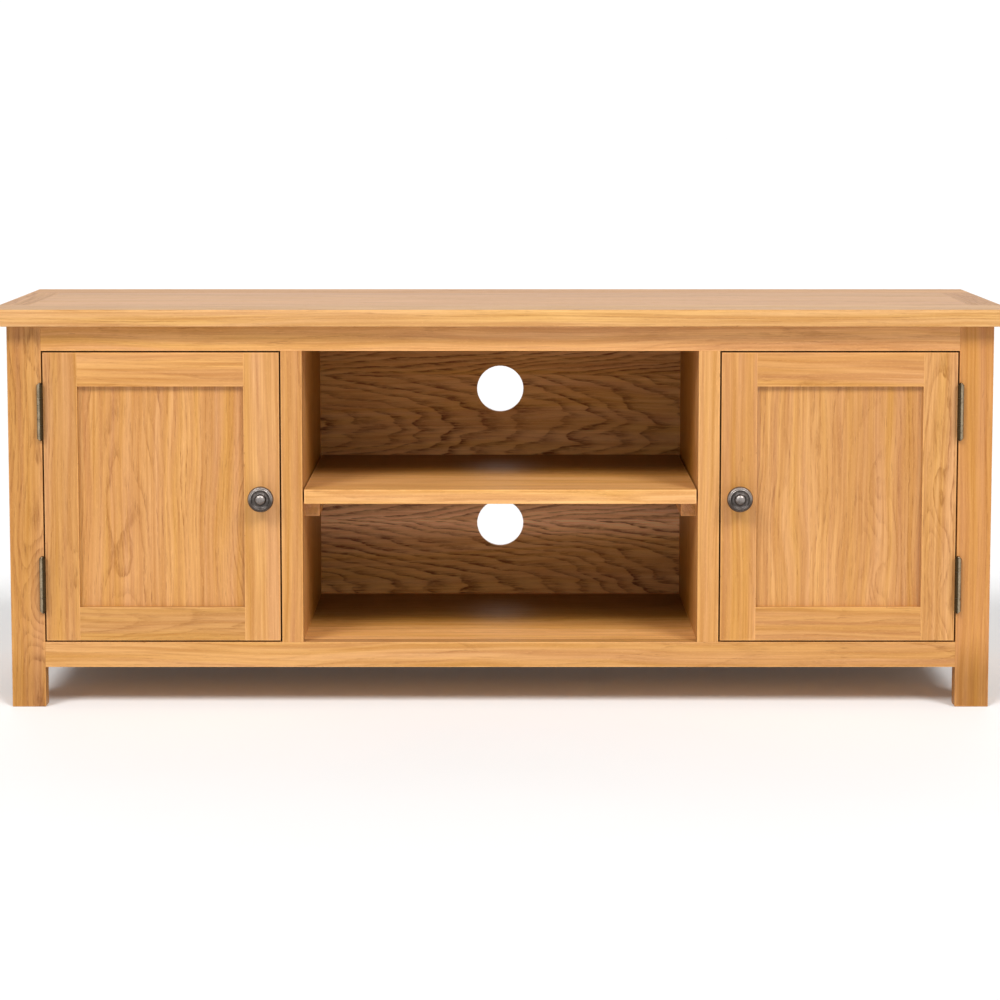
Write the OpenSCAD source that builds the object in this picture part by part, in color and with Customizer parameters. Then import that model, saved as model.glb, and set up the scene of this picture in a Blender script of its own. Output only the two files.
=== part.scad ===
// Media cabinet: a low wooden stand with two framed doors, an open centre bay
// with one shelf, and a framed top.
// Frame: +Z up, the front faces -Y, X = 0 is the centre plane, Z = 0 is the floor.
// The origin is the centre of the whole outline on the floor.

/* [Overall size] */
// Width of the top, side to side
overall_w = 1200; // [1120:10:1500]
// Height from the floor to the top's surface
overall_h = 475; // [460:5:560]
// Depth of the top, front edge to back edge
top_d = 350; // [330:5:450]
// Thickness of the top
top_t = 20; // [18:1:26]
// How far the top stands out past the front and the sides
overhang = 20; // [12:1:24]
// Rounding of the top's upper arris
top_arris = 3; // [1:0.5:4]
// Rounding of the legs' outer arrises and feet and of the shelf's front arris
arris = 1.5; // [0.8:0.1:2]
// Width of the boards that frame the top at front and back
border_w = 70; // [60:1:90]
// Width of the boards that frame the top at its ends
end_board_w = 40; // [34:1:50]

/* [Legs and face frame] */
// Width of a leg board
post_w = 40; // [36:1:50]
// Thickness of every leg, rail and stile board
board_t = 20; // [18:1:22]
// Clear height under the bottom rail
foot_h = 48; // [30:1:70]
// Height of the face frame's rails
rail_h = 30; // [26:1:40]
// Width of the stiles beside the centre bay
center_stile_w = 25; // [22:1:30]
// Clear width of the centre bay
bay_w = 467; // [440:1:500]
// Width of the side frame's stiles and height of its rails
side_member_w = 40; // [34:1:50]

/* [Inside boards] */
// Thickness of the dividers
divider_t = 18; // [15:1:20]
// Thickness of the bottom board
bottom_t = 18; // [15:1:20]
// Thickness of every grooved-in panel
panel_t = 8; // [6:1:9]
// Thickness of the centre shelf
shelf_t = 17; // [15:1:20]
// Height of the centre shelf's upper face
shelf_top_z = 260.5; // [240:0.5:280]
// Gap at each end of the shelf
shelf_gap = 2.0; // [0.5:0.1:3]
// Width of a shelf cleat
cleat_w = 18; // [15:1:22]
// Height of a shelf cleat
cleat_h = 19; // [16:1:24]
// How far the cleats stop behind the front
cleat_setback = 30; // [22:1:60]

/* [Cable holes] */
// Radius of each cable hole in the back panel
cable_r = 30; // [20:1:32]
// Height of the upper cable hole
cable_z_upper = 346.5; // [330:0.5:360]
// Height of the lower cable hole
cable_z_lower = 170.5; // [150:0.5:185]

/* [Doors] */
// Width of the door stile on the knob side
door_lock_w = 42; // [38:1:50]
// Width of the door stile on the hinge side
door_hinge_w = 40; // [36:1:50]
// Height of the door rails
door_rail_h = 40; // [34:1:60]
// How far the door panel lies behind the door's front face
panel_recess = 6; // [4:0.5:7]
// Radius of a knob
knob_r = 15.3; // [13:0.1:17]
// How far a knob stands out from the door
knob_proj = 25; // [25:0.5:30]

/* [Hinges] */
// Height of a hinge's three knuckles together
hinge_h = 64; // [60:1:76]
// Outer radius of the hinge knuckles
knuckle_r = 3.75; // [3:0.05:4.2]
// Height of each outer knuckle
outer_knuckle_h = 16; // [12:0.5:18]
// Distance of a hinge's centre from the end of the door
hinge_inset = 69; // [60:1:90]

/* [Hidden] */
$fn = 64;
door_gap = 2;          // gap all round each door
groove_d = 8;          // depth of every groove for a panel or stub tenon
slack = 1;             // room that a panel has at the bottom of its groove
leaf_t = 1.5;          // thickness of a hinge leaf
pin_r = 1.5;           // hinge pin
pin_run = 0.05;        // running clearance of the pin in the door's knuckle
axial_gap = 0.25;      // gap between knuckles
fit = 0.02;            // room round screws
tongue_t = 6;          // tongue of the top's field

body_w = overall_w - 2 * overhang;
body_d = top_d - overhang;
under_z = overall_h - top_t;                     // underside of the top
depth_all = body_d + max(knob_proj, overhang);
face_y = -depth_all / 2 + max(knob_proj, overhang);  // front of the face frame
back_y = depth_all / 2;
top_y = back_y - top_d;                          // front edge of the top
xo = body_w / 2;                                 // outer face of the sides
xi = xo - post_w;                                // inner edge of the legs
xs = xo - board_t;                               // inner face of the sides
fy = face_y + board_t;                           // back of the face frame
by = back_y - board_t;                           // front of the back frame
bay_x = bay_w / 2;
stile_x = bay_x + center_stile_w;
open_z0 = foot_h + rail_h;
open_z1 = under_z - rail_h;
back_g0 = by + (board_t - panel_t) / 2;          // front face of the back panel
shelf_z0 = shelf_top_z - shelf_t;

door_x0 = stile_x + door_gap;                    // knob edge of the door
door_x1 = xi - door_gap;                         // hinge edge of the door
door_z0 = open_z0 + door_gap;
door_z1 = open_z1 - door_gap;
door_mid_z = (door_z0 + door_z1) / 2;
door_g0 = face_y + panel_recess;                 // front face of the door panel

pivot_x = xi + 1;                                // hinge axis
pivot_y = face_y - knuckle_r - 0.5;
leaf_y1 = face_y + 18;                           // back edge of the leaves
hinge_zs = [door_z1 - hinge_inset - 0.5, door_z0 + hinge_inset - 1.5];
leaf_screws = [[-22, 12], [0, 7], [22, 12]];     // height from the hinge's centre, distance behind the face

knob_x = door_x0 + door_lock_w / 2;
catch_z = door_z1 - 50;                          // centre of the magnetic catch
catch_h = 44;
catch_w = 18;
catch_y0 = fy + 1.5;
catch_x0 = bay_x + divider_t;

block = 20;                                      // top fixing blocks
block_l = 60;
block_xs = [-(stile_x + door_x1) / 2, 0, (stile_x + door_x1) / 2];

oak = "#dca564";
oak_warm = "#d49a58";
oak_pale = "#e3b277";
oak_dark = "#8a5a30";
bronze = "#5d5348";
pewter = "#6f6c68";
steel = "#b9bcc0";
brown_plastic = "#5a3a24";

// ---------- helpers ----------

// A board between two corners
module board(x0, x1, y0, y1, z0, z1) {
  translate([x0, y0, z0]) cube([x1 - x0, y1 - y0, z1 - z0]);
}

// The left-hand copy of a right-hand piece
module left() {
  mirror([1, 0, 0]) children();
}

// Both copies
module both() {
  children();
  left() children();
}

// What is outside a rounded corner of radius r at the origin, for a corner that points to (sx, sy)
module corner_waste(r, sx, sy) {
  mirror([sx > 0 ? 0 : 1, 0]) mirror([0, sy > 0 ? 0 : 1]) translate([-r, -r]) difference() {
    square([r + 1, r + 1]);
    circle(r);
  }
}

// Countersunk screw along +Z, its flat head at Z = 0
module screw(shank, head, len) {
  difference() {
    union() {
      cylinder(h = head - shank, r1 = head, r2 = shank, $fn = 32);
      translate([0, 0, head - shank]) cylinder(h = len - 3 - head + shank, r = shank, $fn = 32);
      translate([0, 0, len - 3]) cylinder(h = 3, r1 = shank, r2 = 0.3, $fn = 32);
    }
    for (a = [0, 90]) rotate(a) translate([-head * 0.55, -0.35, -1]) cube([head * 1.1, 0.7, 1.7]);
  }
}

// The hole that takes that screw
module screw_hole(shank, head, len) {
  translate([0, 0, -0.5]) cylinder(h = 0.5 + fit, r = head + fit, $fn = 32);
  cylinder(h = head - shank + fit, r1 = head + fit, r2 = shank + fit, $fn = 32);
  cylinder(h = len + 0.3, r = shank + fit, $fn = 32);
}

// ---------- places of the screws ----------

// Through the fixing blocks, up into the top
module at_top_screws() {
  for (x = block_xs, y = [fy + block / 2, by - block / 2])
    translate([x, y, under_z - block]) children();
}

// Through the cleats, sideways into the dividers
module at_cleat_side_screws() {
  for (y = [-90, 10, 110]) translate([bay_x - cleat_w, y, shelf_z0 - cleat_h / 2]) rotate([0, 90, 0]) children();
}

// Through the cleats, up into the shelf
module at_cleat_up_screws() {
  for (y = [-60, 80]) translate([bay_x - cleat_w / 2, y, shelf_z0 - cleat_h]) children();
}

// Through the frame leaves, into the right leg
module at_frame_leaf_screws() {
  for (h = hinge_zs, s = leaf_screws) translate([xi, face_y + s[1], h + s[0]]) rotate([0, 90, 0]) children();
}

// Through the door leaves, into the right door's hinge stile
module at_door_leaf_screws() {
  for (h = hinge_zs, s = leaf_screws) translate([door_x1 + leaf_t, face_y + s[1], h + s[0]]) rotate([0, -90, 0]) children();
}

// Through the catch's ears, into the right divider
module at_catch_screws() {
  for (s = [-1, 1]) translate([catch_x0 + 2.5, catch_y0 + 15, catch_z + s * 17]) rotate([0, -90, 0]) children();
}

// Through the strike plate, into the right door's knob stile
module at_strike_screw() {
  translate([door_x0 + 11, fy + 1.2, catch_z]) rotate([90, 0, 0]) children();
}

// ---------- the top ----------

// The top's outline with rounded upper and lower arrises at the front and the ends
module top_outline() {
  w = overall_w;
  intersection() {
    translate([-w / 2, 0, 0]) rotate([90, 0, 90]) linear_extrude(w) difference() {
      translate([top_y, under_z]) square([top_d, top_t]);
      translate([top_y, overall_h]) corner_waste(top_arris, -1, 1);
      translate([top_y, under_z]) corner_waste(1.5, -1, -1);
    }
    translate([0, back_y, 0]) rotate([90, 0, 0]) linear_extrude(top_d) difference() {
      translate([-w / 2, under_z]) square([w, top_t]);
      for (s = [-1, 1]) {
        translate([s * w / 2, overall_h]) corner_waste(top_arris, s, 1);
        translate([s * w / 2, under_z]) corner_waste(1.5, s, -1);
      }
    }
  }
}

field_x = overall_w / 2 - end_board_w;
field_y0 = top_y + border_w;
field_y1 = back_y - border_w;
tg0 = under_z + (top_t - tongue_t) / 2;

module top_field() {
  color(oak) union() {
    board(-field_x, field_x, field_y0, field_y1, under_z, overall_h);
    board(-field_x - groove_d + slack, field_x + groove_d - slack, field_y0 - groove_d + slack, field_y1 + groove_d - slack, tg0, tg0 + tongue_t);
  }
}

module top_front_board() {
  color(oak_pale) difference() {
    intersection() {
      top_outline();
      board(-overall_w, overall_w, top_y - 1, field_y0, under_z - 1, overall_h + 1);
    }
    board(-field_x - end_board_w + 8, field_x + end_board_w - 8, field_y0 - groove_d, field_y0 + 1, tg0, tg0 + tongue_t);
    at_top_screws() screw_hole(2, 4, 32);
  }
}

module top_back_board() {
  color(oak_warm) difference() {
    intersection() {
      top_outline();
      board(-overall_w, overall_w, field_y1, back_y + 1, under_z - 1, overall_h + 1);
    }
    board(-field_x - end_board_w + 8, field_x + end_board_w - 8, field_y1 - 1, field_y1 + groove_d, tg0, tg0 + tongue_t);
    at_top_screws() screw_hole(2, 4, 32);
  }
}

module end_board() {
  color(oak_warm) difference() {
    union() {
      intersection() {
        top_outline();
        board(field_x, overall_w, field_y0, field_y1, under_z - 1, overall_h + 1);
      }
      board(field_x + 9, field_x + end_board_w - 8.2, field_y0 - groove_d + 0.2, field_y1 + groove_d - 0.2, tg0, tg0 + tongue_t);
    }
    board(field_x - 1, field_x + groove_d, field_y0 - groove_d, field_y1 + groove_d, tg0, tg0 + tongue_t);
  }
}
module top_right_end_board() { end_board(); }
module top_left_end_board() { left() end_board(); }

// ---------- legs ----------

// Stub tenon of a face rail, in the right leg
module face_rail_tenon(z0, room) {
  board(xi - 0.01, xi + 12 + room, face_y + 6, face_y + 14, z0 + 4, z0 + rail_h - 4);
}

// A leg board from (x0, y0) to (x1, y1), its foot rounded all round; ry is -1 if its outer face looks to -Y and 1 if to +Y
module leg_board(x0, x1, y0, y1, ry) {
  yf = ry < 0 ? y0 : y1;
  intersection() {
    linear_extrude(under_z) difference() {
      translate([x0, y0]) square([x1 - x0, y1 - y0]);
      translate([x1, yf]) corner_waste(arris, 1, ry);
      translate([x0, yf]) corner_waste(0.6, -1, ry);
    }
    translate([0, y1, 0]) rotate([90, 0, 0]) linear_extrude(y1 - y0) difference() {
      translate([x0, 0]) square([x1 - x0, under_z]);
      translate([x1, 0]) corner_waste(arris, 1, -1);
      translate([x0, 0]) corner_waste(arris, -1, -1);
    }
    translate([x0, 0, 0]) rotate([90, 0, 90]) linear_extrude(x1 - x0) difference() {
      translate([y0, 0]) square([y1 - y0, under_z]);
      translate([yf, 0]) corner_waste(arris, ry, -1);
    }
  }
}

module front_post() {
  color(oak_warm) difference() {
    leg_board(xi, xo, face_y, fy, -1);
    face_rail_tenon(foot_h, 0.3);
    face_rail_tenon(open_z1, 0.3);
    for (h = hinge_zs) board(xi - 1, xi + leaf_t, face_y - 1, leaf_y1, h - hinge_h / 2, h + hinge_h / 2);
    at_frame_leaf_screws() screw_hole(1.4, 2.6, 14);
  }
}
module front_right_post() { front_post(); }
module front_left_post() { left() front_post(); }

module back_post() {
  color(oak_warm) difference() {
    leg_board(xi, xo, by, back_y, 1);
    board(xi - 1, xi + groove_d, back_g0, back_g0 + panel_t, foot_h, under_z + 1);
  }
}
module back_right_post() { back_post(); }
module back_left_post() { left() back_post(); }

// ---------- framed sides ----------

side_g0 = xs + (board_t - panel_t) / 2;
side_z1 = foot_h + side_member_w;      // top of the lower side rail
side_z2 = under_z - side_member_w;     // bottom of the upper side rail
side_y1 = fy + side_member_w;
side_y2 = by - side_member_w;

// A stile of the right side from y0 to y1, with a rounded foot; the free corner of the foot looks to sy
module side_stile_board(y0, y1, sy) {
  intersection() {
    translate([0, y1, 0]) rotate([90, 0, 0]) linear_extrude(y1 - y0) difference() {
      translate([xs, 0]) square([xo - xs, under_z]);
      translate([xo, 0]) corner_waste(arris, 1, -1);
    }
    translate([xs, 0, 0]) rotate([90, 0, 90]) linear_extrude(xo - xs) difference() {
      translate([y0, 0]) square([y1 - y0, under_z]);
      translate([sy > 0 ? y1 : y0, 0]) corner_waste(arris, sy, -1);
    }
  }
}

module side_front_stile() {
  color(oak_warm) difference() {
    side_stile_board(fy, side_y1, 1);
    board(side_g0, side_g0 + panel_t, side_y1 - groove_d, side_y1 + 1, foot_h, under_z + 1);
  }
}
module side_back_stile() {
  color(oak_warm) difference() {
    side_stile_board(side_y2, by, -1);
    board(side_g0, side_g0 + panel_t, side_y2 - 1, side_y2 + groove_d, foot_h, under_z + 1);
  }
}
module side_top_rail() {
  color(oak) difference() {
    union() {
      board(xs, xo, side_y1, side_y2, side_z2, under_z);
      board(side_g0, side_g0 + panel_t, side_y1 - groove_d + 0.2, side_y2 + groove_d - 0.2, side_z2, under_z);
    }
    board(side_g0, side_g0 + panel_t, side_y1 - groove_d, side_y2 + groove_d, side_z2 - 1, side_z2 + groove_d);
  }
}
module side_bottom_rail() {
  color(oak) difference() {
    union() {
      board(xs, xo, side_y1, side_y2, foot_h, side_z1);
      board(side_g0, side_g0 + panel_t, side_y1 - groove_d + 0.2, side_y2 + groove_d - 0.2, foot_h, side_z1);
    }
    board(side_g0, side_g0 + panel_t, side_y1 - groove_d, side_y2 + groove_d, side_z1 - groove_d, side_z1 + 1);
  }
}
module side_panel() {
  color(oak_pale)
    board(side_g0, side_g0 + panel_t, side_y1 - groove_d + slack, side_y2 + groove_d - slack, side_z1 - groove_d + slack, side_z2 + groove_d - slack);
}
module right_side_front_stile() { side_front_stile(); }
module right_side_back_stile() { side_back_stile(); }
module right_side_top_rail() { side_top_rail(); }
module right_side_bottom_rail() { side_bottom_rail(); }
module right_side_panel() { side_panel(); }
module left_side_front_stile() { left() side_front_stile(); }
module left_side_back_stile() { left() side_back_stile(); }
module left_side_top_rail() { left() side_top_rail(); }
module left_side_bottom_rail() { left() side_bottom_rail(); }
module left_side_panel() { left() side_panel(); }

// ---------- face frame ----------

// Stub tenon at one end of the right centre stile; room is added to its length
module stile_tenon(up, room) {
  z0 = up ? open_z1 - 0.01 : open_z0 - 10 - room;
  z1 = up ? open_z1 + 10 + room : open_z0 + 0.01;
  board(bay_x + 4, stile_x - 4, face_y + 6, face_y + 14, z0, z1);
}

module face_rail(z0, up) {
  difference() {
    union() {
      board(-xi, xi, face_y, fy, z0, z0 + rail_h);
      both() face_rail_tenon(z0, 0);
    }
    both() stile_tenon(up, 0.3);
  }
}
module face_top_rail() { color(oak) face_rail(open_z1, true); }
module face_bottom_rail() { color(oak) face_rail(foot_h, false); }

module center_stile() {
  color(oak) union() {
    board(bay_x, stile_x, face_y, fy, open_z0, open_z1);
    stile_tenon(true, 0);
    stile_tenon(false, 0);
  }
}
module right_center_stile() { center_stile(); }
module left_center_stile() { left() center_stile(); }

// ---------- inside boards ----------

module divider() {
  color(oak_warm) difference() {
    board(bay_x, bay_x + divider_t, fy, back_g0, open_z0, under_z);
    board(bay_x - 1, bay_x + divider_t + 1, by, back_g0 + 1, open_z1, under_z + 1);
    at_cleat_side_screws() screw_hole(2, 4, 30);
    at_catch_screws() screw_hole(1.4, 2.6, 14);
  }
}
module right_divider() { divider(); }
module left_divider() { left() divider(); }

module bottom_board() {
  color(oak) board(-xs, xs, fy, by, open_z0 - bottom_t, open_z0);
}

module back_rail(z0, groove_z0) {
  difference() {
    union() {
      board(-xi, xi, by, back_y, z0, z0 + rail_h);
      board(-xi - groove_d + 0.2, xi + groove_d - 0.2, back_g0, back_g0 + panel_t, z0, z0 + rail_h);
    }
    board(-xi - groove_d, xi + groove_d, back_g0, back_g0 + panel_t, groove_z0, groove_z0 + groove_d + 1);
  }
}
module back_top_rail() { color(oak_warm) back_rail(open_z1, open_z1 - 1); }
module back_bottom_rail() { color(oak_warm) back_rail(foot_h, open_z0 - groove_d); }

module back_panel() {
  color(oak_dark) difference() {
    board(-xi - groove_d + slack, xi + groove_d - slack, back_g0, back_g0 + panel_t, open_z0 - groove_d + slack, open_z1 + groove_d - slack);
    for (z = [cable_z_upper, cable_z_lower]) translate([0, back_g0 - 1, z]) rotate([-90, 0, 0]) cylinder(h = panel_t + 2, r = cable_r, $fn = 96);
  }
}

module center_shelf() {
  color(oak_pale) difference() {
    translate([-bay_x + shelf_gap, 0, 0]) rotate([90, 0, 90]) linear_extrude(bay_w - 2 * shelf_gap) difference() {
      translate([face_y, shelf_z0]) square([back_g0 - 0.5 - face_y, shelf_t]);
      translate([face_y, shelf_top_z]) corner_waste(arris, -1, 1);
      translate([face_y, shelf_z0]) corner_waste(0.8, -1, -1);
    }
    both() at_cleat_up_screws() screw_hole(2, 4, 30);
  }
}

module shelf_cleat() {
  color(oak_warm) difference() {
    board(bay_x - cleat_w, bay_x, face_y + cleat_setback, by, shelf_z0 - cleat_h, shelf_z0);
    at_cleat_side_screws() screw_hole(2, 4, 30);
    at_cleat_up_screws() screw_hole(2, 4, 30);
  }
}
module right_shelf_cleat() { shelf_cleat(); }
module left_shelf_cleat() { left() shelf_cleat(); }

module top_fixing_blocks() {
  color(oak_warm) for (x = block_xs, s = [0, 1]) difference() {
    board(x - block_l / 2, x + block_l / 2, s == 0 ? fy : by - block, s == 0 ? fy + block : by, under_z - block, under_z);
    at_top_screws() screw_hole(2, 4, 32);
  }
}

module assembly_screws() {
  color(steel) {
    at_top_screws() screw(2, 4, 32);
    both() at_cleat_side_screws() screw(2, 4, 28);
    both() at_cleat_up_screws() screw(2, 4, 30);
  }
}

// ---------- magnetic catches ----------

module catch_housings() {
  color(brown_plastic) both() difference() {
    union() {
      board(catch_x0, catch_x0 + catch_w, catch_y0, catch_y0 + 20, catch_z - 13, catch_z + 13);
      board(catch_x0, catch_x0 + 2.5, catch_y0 + 8, catch_y0 + 22, catch_z - catch_h / 2, catch_z + catch_h / 2);
    }
    board(catch_x0 + catch_w - 8.5, catch_x0 + catch_w - 1.5, catch_y0 - 1, catch_y0 + 15, catch_z - 10, catch_z + 10);
    at_catch_screws() screw_hole(1.4, 2.6, 14);
  }
}

module catch_magnets() {
  color(steel) both()
    board(catch_x0 + catch_w - 8.5, catch_x0 + catch_w - 1.5, catch_y0 - 0.2, catch_y0 + 15, catch_z - 10, catch_z + 10);
}

// ---------- hinges ----------

// A knuckle on the hinge axis, from z0 to z1
module knuckle(z0, z1) {
  translate([pivot_x, pivot_y, z0]) cylinder(h = z1 - z0, r = knuckle_r);
}

module frame_leaf(h) {
  lo = h - hinge_h / 2;
  hi = h + hinge_h / 2;
  difference() {
    union() {
      board(xi, xi + leaf_t, face_y, leaf_y1, lo, hi);
      board(xi, xi + leaf_t, pivot_y, face_y + 1, lo, lo + outer_knuckle_h);
      board(xi, xi + leaf_t, pivot_y, face_y + 1, hi - outer_knuckle_h, hi);
      knuckle(lo, lo + outer_knuckle_h);
      knuckle(hi - outer_knuckle_h, hi);
    }
    translate([pivot_x, pivot_y, lo - 1]) cylinder(h = hinge_h + 2, r = pin_r);
    at_frame_leaf_screws() screw_hole(1.4, 2.6, 14);
  }
}

module hinge_frame_leaves() {
  color(bronze) both() for (h = hinge_zs) frame_leaf(h);
}

module door_leaf(h) {
  lo = h - hinge_h / 2;
  hi = h + hinge_h / 2;
  k0 = lo + outer_knuckle_h + axial_gap;
  k1 = hi - outer_knuckle_h - axial_gap;
  difference() {
    union() {
      board(door_x1, door_x1 + leaf_t, face_y, leaf_y1, lo, hi);
      board(door_x1, door_x1 + leaf_t, pivot_y, face_y + 1, k0, k1);
      knuckle(k0, k1);
    }
    translate([pivot_x, pivot_y, lo - 1]) cylinder(h = hinge_h + 2, r = pin_r + pin_run);
    at_door_leaf_screws() screw_hole(1.4, 2.6, 14);
  }
}

// A pin with a small rounded tip at each end
module hinge_pin(h) {
  translate([pivot_x, pivot_y, h]) {
    translate([0, 0, -hinge_h / 2]) cylinder(h = hinge_h, r = pin_r);
    for (s = [0, 1]) mirror([0, 0, s]) translate([0, 0, hinge_h / 2]) {
      cylinder(h = 0.8, r = 2.6);
      translate([0, 0, 0.8]) intersection() {
        translate([0, 0, -1]) sphere(2.7857);
        cylinder(h = 3, r = 4);
      }
    }
  }
}
module hinge_pins() {
  color(bronze) both() for (h = hinge_zs) hinge_pin(h);
}

module carcass_hardware_screws() {
  color(bronze) both() {
    at_frame_leaf_screws() screw(1.4, 2.6, 14);
    at_catch_screws() screw(1.4, 2.6, 14);
  }
}

// ---------- doors ----------

module door_lock_stile() {
  color(oak) difference() {
    board(door_x0, door_x0 + door_lock_w, face_y, fy, door_z0, door_z1);
    board(door_x0 + door_lock_w - groove_d, door_x0 + door_lock_w + 1, door_g0, door_g0 + panel_t, door_z0 - 1, door_z1 + 1);
    translate([knob_x, face_y - 1, door_mid_z]) rotate([-90, 0, 0]) cylinder(h = board_t + 2, r = 2.25, $fn = 48);
    at_strike_screw() screw_hole(1.4, 2.6, 10);
  }
}
module door_hinge_stile() {
  color(oak) difference() {
    board(door_x1 - door_hinge_w, door_x1, face_y, fy, door_z0, door_z1);
    board(door_x1 - door_hinge_w - 1, door_x1 - door_hinge_w + groove_d, door_g0, door_g0 + panel_t, door_z0 - 1, door_z1 + 1);
    at_door_leaf_screws() screw_hole(1.4, 2.6, 14);
  }
}
module door_rail(z0, groove_z0) {
  xa = door_x0 + door_lock_w;
  xb = door_x1 - door_hinge_w;
  color(oak) difference() {
    union() {
      board(xa, xb, face_y, fy, z0, z0 + door_rail_h);
      board(xa - groove_d + 0.2, xb + groove_d - 0.2, door_g0, door_g0 + panel_t, z0, z0 + door_rail_h);
    }
    board(xa - groove_d, xb + groove_d, door_g0, door_g0 + panel_t, groove_z0, groove_z0 + groove_d + 1);
  }
}
module door_top_rail() { door_rail(door_z1 - door_rail_h, door_z1 - door_rail_h - 1); }
module door_bottom_rail() { door_rail(door_z0, door_z0 + door_rail_h - groove_d); }
module door_panel() {
  color(oak_pale)
    board(door_x0 + door_lock_w - groove_d + slack, door_x1 - door_hinge_w + groove_d - slack, door_g0, door_g0 + panel_t,
          door_z0 + door_rail_h - groove_d + slack, door_z1 - door_rail_h + groove_d - slack);
}

// Turned knob, its axis along the door's normal; the profile is [radius, distance from the door] over knob_proj
function knob_profile(r, p) = [
  [0, 0], [0.62 * r, 0], [0.62 * r, 0.05 * p], [0.54 * r, 0.10 * p], [0.44 * r, 0.16 * p], [0.40 * r, 0.26 * p],
  [0.42 * r, 0.36 * p], [0.52 * r, 0.45 * p], [0.74 * r, 0.53 * p], [0.93 * r, 0.59 * p], [r, 0.65 * p], [r, 0.71 * p],
  [0.965 * r, 0.77 * p], [0.88 * r, 0.82 * p], [0.84 * r, 0.83 * p], [0.80 * r, 0.88 * p], [0.74 * r, 0.905 * p],
  [0.69 * r, 0.88 * p], [0.58 * r, 0.845 * p], [0.49 * r, 0.85 * p], [0.47 * r, 0.90 * p], [0.41 * r, 0.945 * p],
  [0.30 * r, 0.98 * p], [0.16 * r, 0.996 * p], [0, p]];
module door_knob() {
  color(pewter) translate([knob_x, face_y, door_mid_z]) rotate([90, 0, 0]) difference() {
    rotate_extrude($fn = 96) polygon(knob_profile(knob_r, knob_proj));
    translate([0, 0, -1]) cylinder(h = 13, r = 2, $fn = 48);
  }
}
module door_knob_bolt() {
  color(steel) translate([knob_x, face_y, door_mid_z]) rotate([90, 0, 0]) difference() {
    union() {
      translate([0, 0, -board_t]) cylinder(h = board_t + 11, r = 2, $fn = 48);
      translate([0, 0, -board_t - 1]) cylinder(h = 1, r = 4.2, $fn = 48);
      translate([0, 0, -board_t - 2]) cylinder(h = 1, r1 = 3.2, r2 = 4.2, $fn = 48);
    }
    translate([-3, -0.5, -board_t - 3]) cube([6, 1, 2]);
  }
}
module door_strike_plate() {
  color(steel) difference() {
    board(door_x0 + 1, door_x0 + 17, fy, fy + 1.2, catch_z - 17, catch_z + 17);
    at_strike_screw() screw_hole(1.4, 2.6, 10);
  }
}
module door_hinge_leaves() { color(bronze) for (h = hinge_zs) door_leaf(h); }
module door_screws() {
  color(bronze) {
    at_door_leaf_screws() screw(1.4, 2.6, 14);
    at_strike_screw() screw(1.4, 2.6, 10);
  }
}

module right_door_hinge_stile() { door_hinge_stile(); }
module right_door_lock_stile() { door_lock_stile(); }
module right_door_top_rail() { door_top_rail(); }
module right_door_bottom_rail() { door_bottom_rail(); }
module right_door_panel() { door_panel(); }
module right_door_knob() { door_knob(); }
module right_door_knob_bolt() { door_knob_bolt(); }
module right_door_hinge_leaves() { door_hinge_leaves(); }
module right_door_strike_plate() { door_strike_plate(); }
module right_door_screws() { door_screws(); }
module left_door_hinge_stile() { left() door_hinge_stile(); }
module left_door_lock_stile() { left() door_lock_stile(); }
module left_door_top_rail() { left() door_top_rail(); }
module left_door_bottom_rail() { left() door_bottom_rail(); }
module left_door_panel() { left() door_panel(); }
module left_door_knob() { left() door_knob(); }
module left_door_knob_bolt() { left() door_knob_bolt(); }
module left_door_hinge_leaves() { left() door_hinge_leaves(); }
module left_door_strike_plate() { left() door_strike_plate(); }
module left_door_screws() { left() door_screws(); }

top_field();
top_front_board();
top_back_board();
top_left_end_board();
top_right_end_board();
front_left_post();
front_right_post();
back_left_post();
back_right_post();
left_side_front_stile();
left_side_back_stile();
left_side_top_rail();
left_side_bottom_rail();
left_side_panel();
right_side_front_stile();
right_side_back_stile();
right_side_top_rail();
right_side_bottom_rail();
right_side_panel();
face_top_rail();
face_bottom_rail();
left_center_stile();
right_center_stile();
left_divider();
right_divider();
bottom_board();
back_top_rail();
back_bottom_rail();
back_panel();
center_shelf();
left_shelf_cleat();
right_shelf_cleat();
top_fixing_blocks();
assembly_screws();
catch_housings();
catch_magnets();
hinge_frame_leaves();
hinge_pins();
carcass_hardware_screws();
left_door_hinge_stile();
left_door_lock_stile();
left_door_top_rail();
left_door_bottom_rail();
left_door_panel();
left_door_knob();
left_door_knob_bolt();
left_door_hinge_leaves();
left_door_strike_plate();
left_door_screws();
right_door_hinge_stile();
right_door_lock_stile();
right_door_top_rail();
right_door_bottom_rail();
right_door_panel();
right_door_knob();
right_door_knob_bolt();
right_door_hinge_leaves();
right_door_strike_plate();
right_door_screws();
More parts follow.
